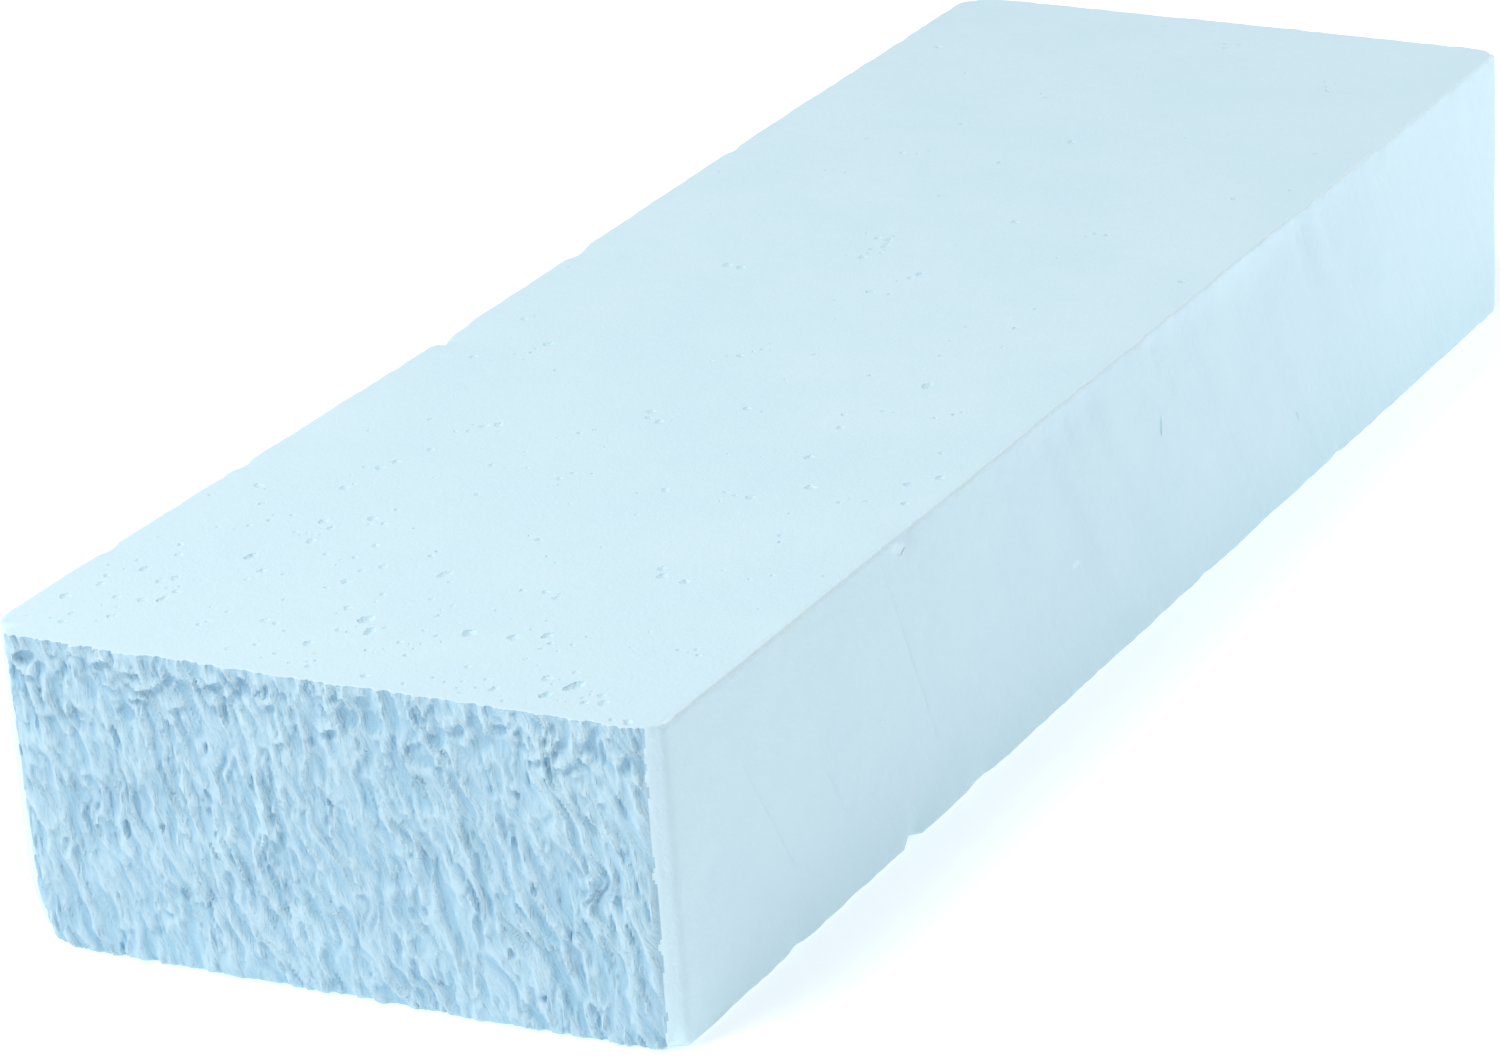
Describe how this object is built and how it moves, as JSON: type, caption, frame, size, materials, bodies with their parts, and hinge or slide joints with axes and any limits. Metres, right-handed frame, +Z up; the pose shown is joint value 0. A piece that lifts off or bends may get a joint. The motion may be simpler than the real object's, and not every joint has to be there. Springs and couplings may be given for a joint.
{
  "type": "floral foam brick",
  "caption": "Long flat brick of rigid pale blue craft foam that holds dry or artificial flower stems pushed into its top, with one roughly sawn end.",
  "frame": {"origin": "middle of the base, on the surface the block lies on", "axes": "+Z up, +Y along the block's length from the roughly sawn end to the other end, +X to the right when facing the sawn end"},
  "size_m": [0.099, 0.305, 0.0465],
  "materials": {
    "foam": "dry rigid closed-cell foam, matt pale blue, crushed and torn cells on the sawn end"
  },
  "bodies": {
    "root": {"foam_brick": "foam"}
  },
  "joints": []
}
